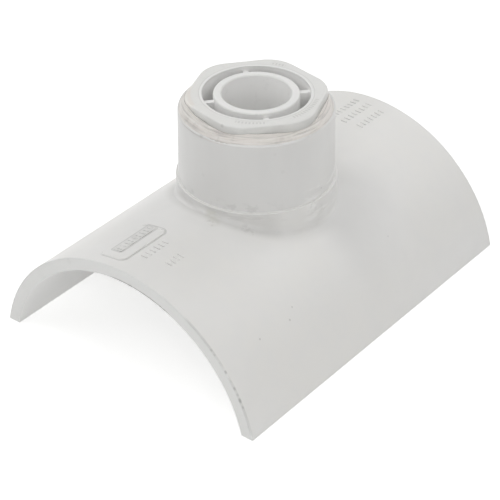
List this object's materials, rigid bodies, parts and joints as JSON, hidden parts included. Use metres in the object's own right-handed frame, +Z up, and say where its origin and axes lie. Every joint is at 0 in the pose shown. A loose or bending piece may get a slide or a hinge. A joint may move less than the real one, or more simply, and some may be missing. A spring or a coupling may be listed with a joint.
{
  "type": "pipe tapping saddle",
  "caption": "Curved glue-on pipe saddle with a socket hub on its crown, reduced by a cemented hexagonal bushing to a smaller pipe socket.",
  "frame": {"origin": "on the plane of the two feet, under the centre of the branch, midway along the plate", "axes": "+Z up along the branch, +Y along the main pipe's axis, +X across the main pipe"},
  "size_m": [0.1222, 0.1608, 0.0874],
  "materials": {
    "saddle_plastic": "moulded off-white PVC, semi-gloss, lightly scuffed",
    "bushing_plastic": "moulded off-white PVC, semi-gloss",
    "cured_cement": "cured solvent cement, uneven, slightly pink and beige"
  },
  "bodies": {
    "root": {"saddle_body": "saddle_plastic", "reducer_bushing": "bushing_plastic", "cement_bead": "cured_cement"}
  },
  "joints": []
}
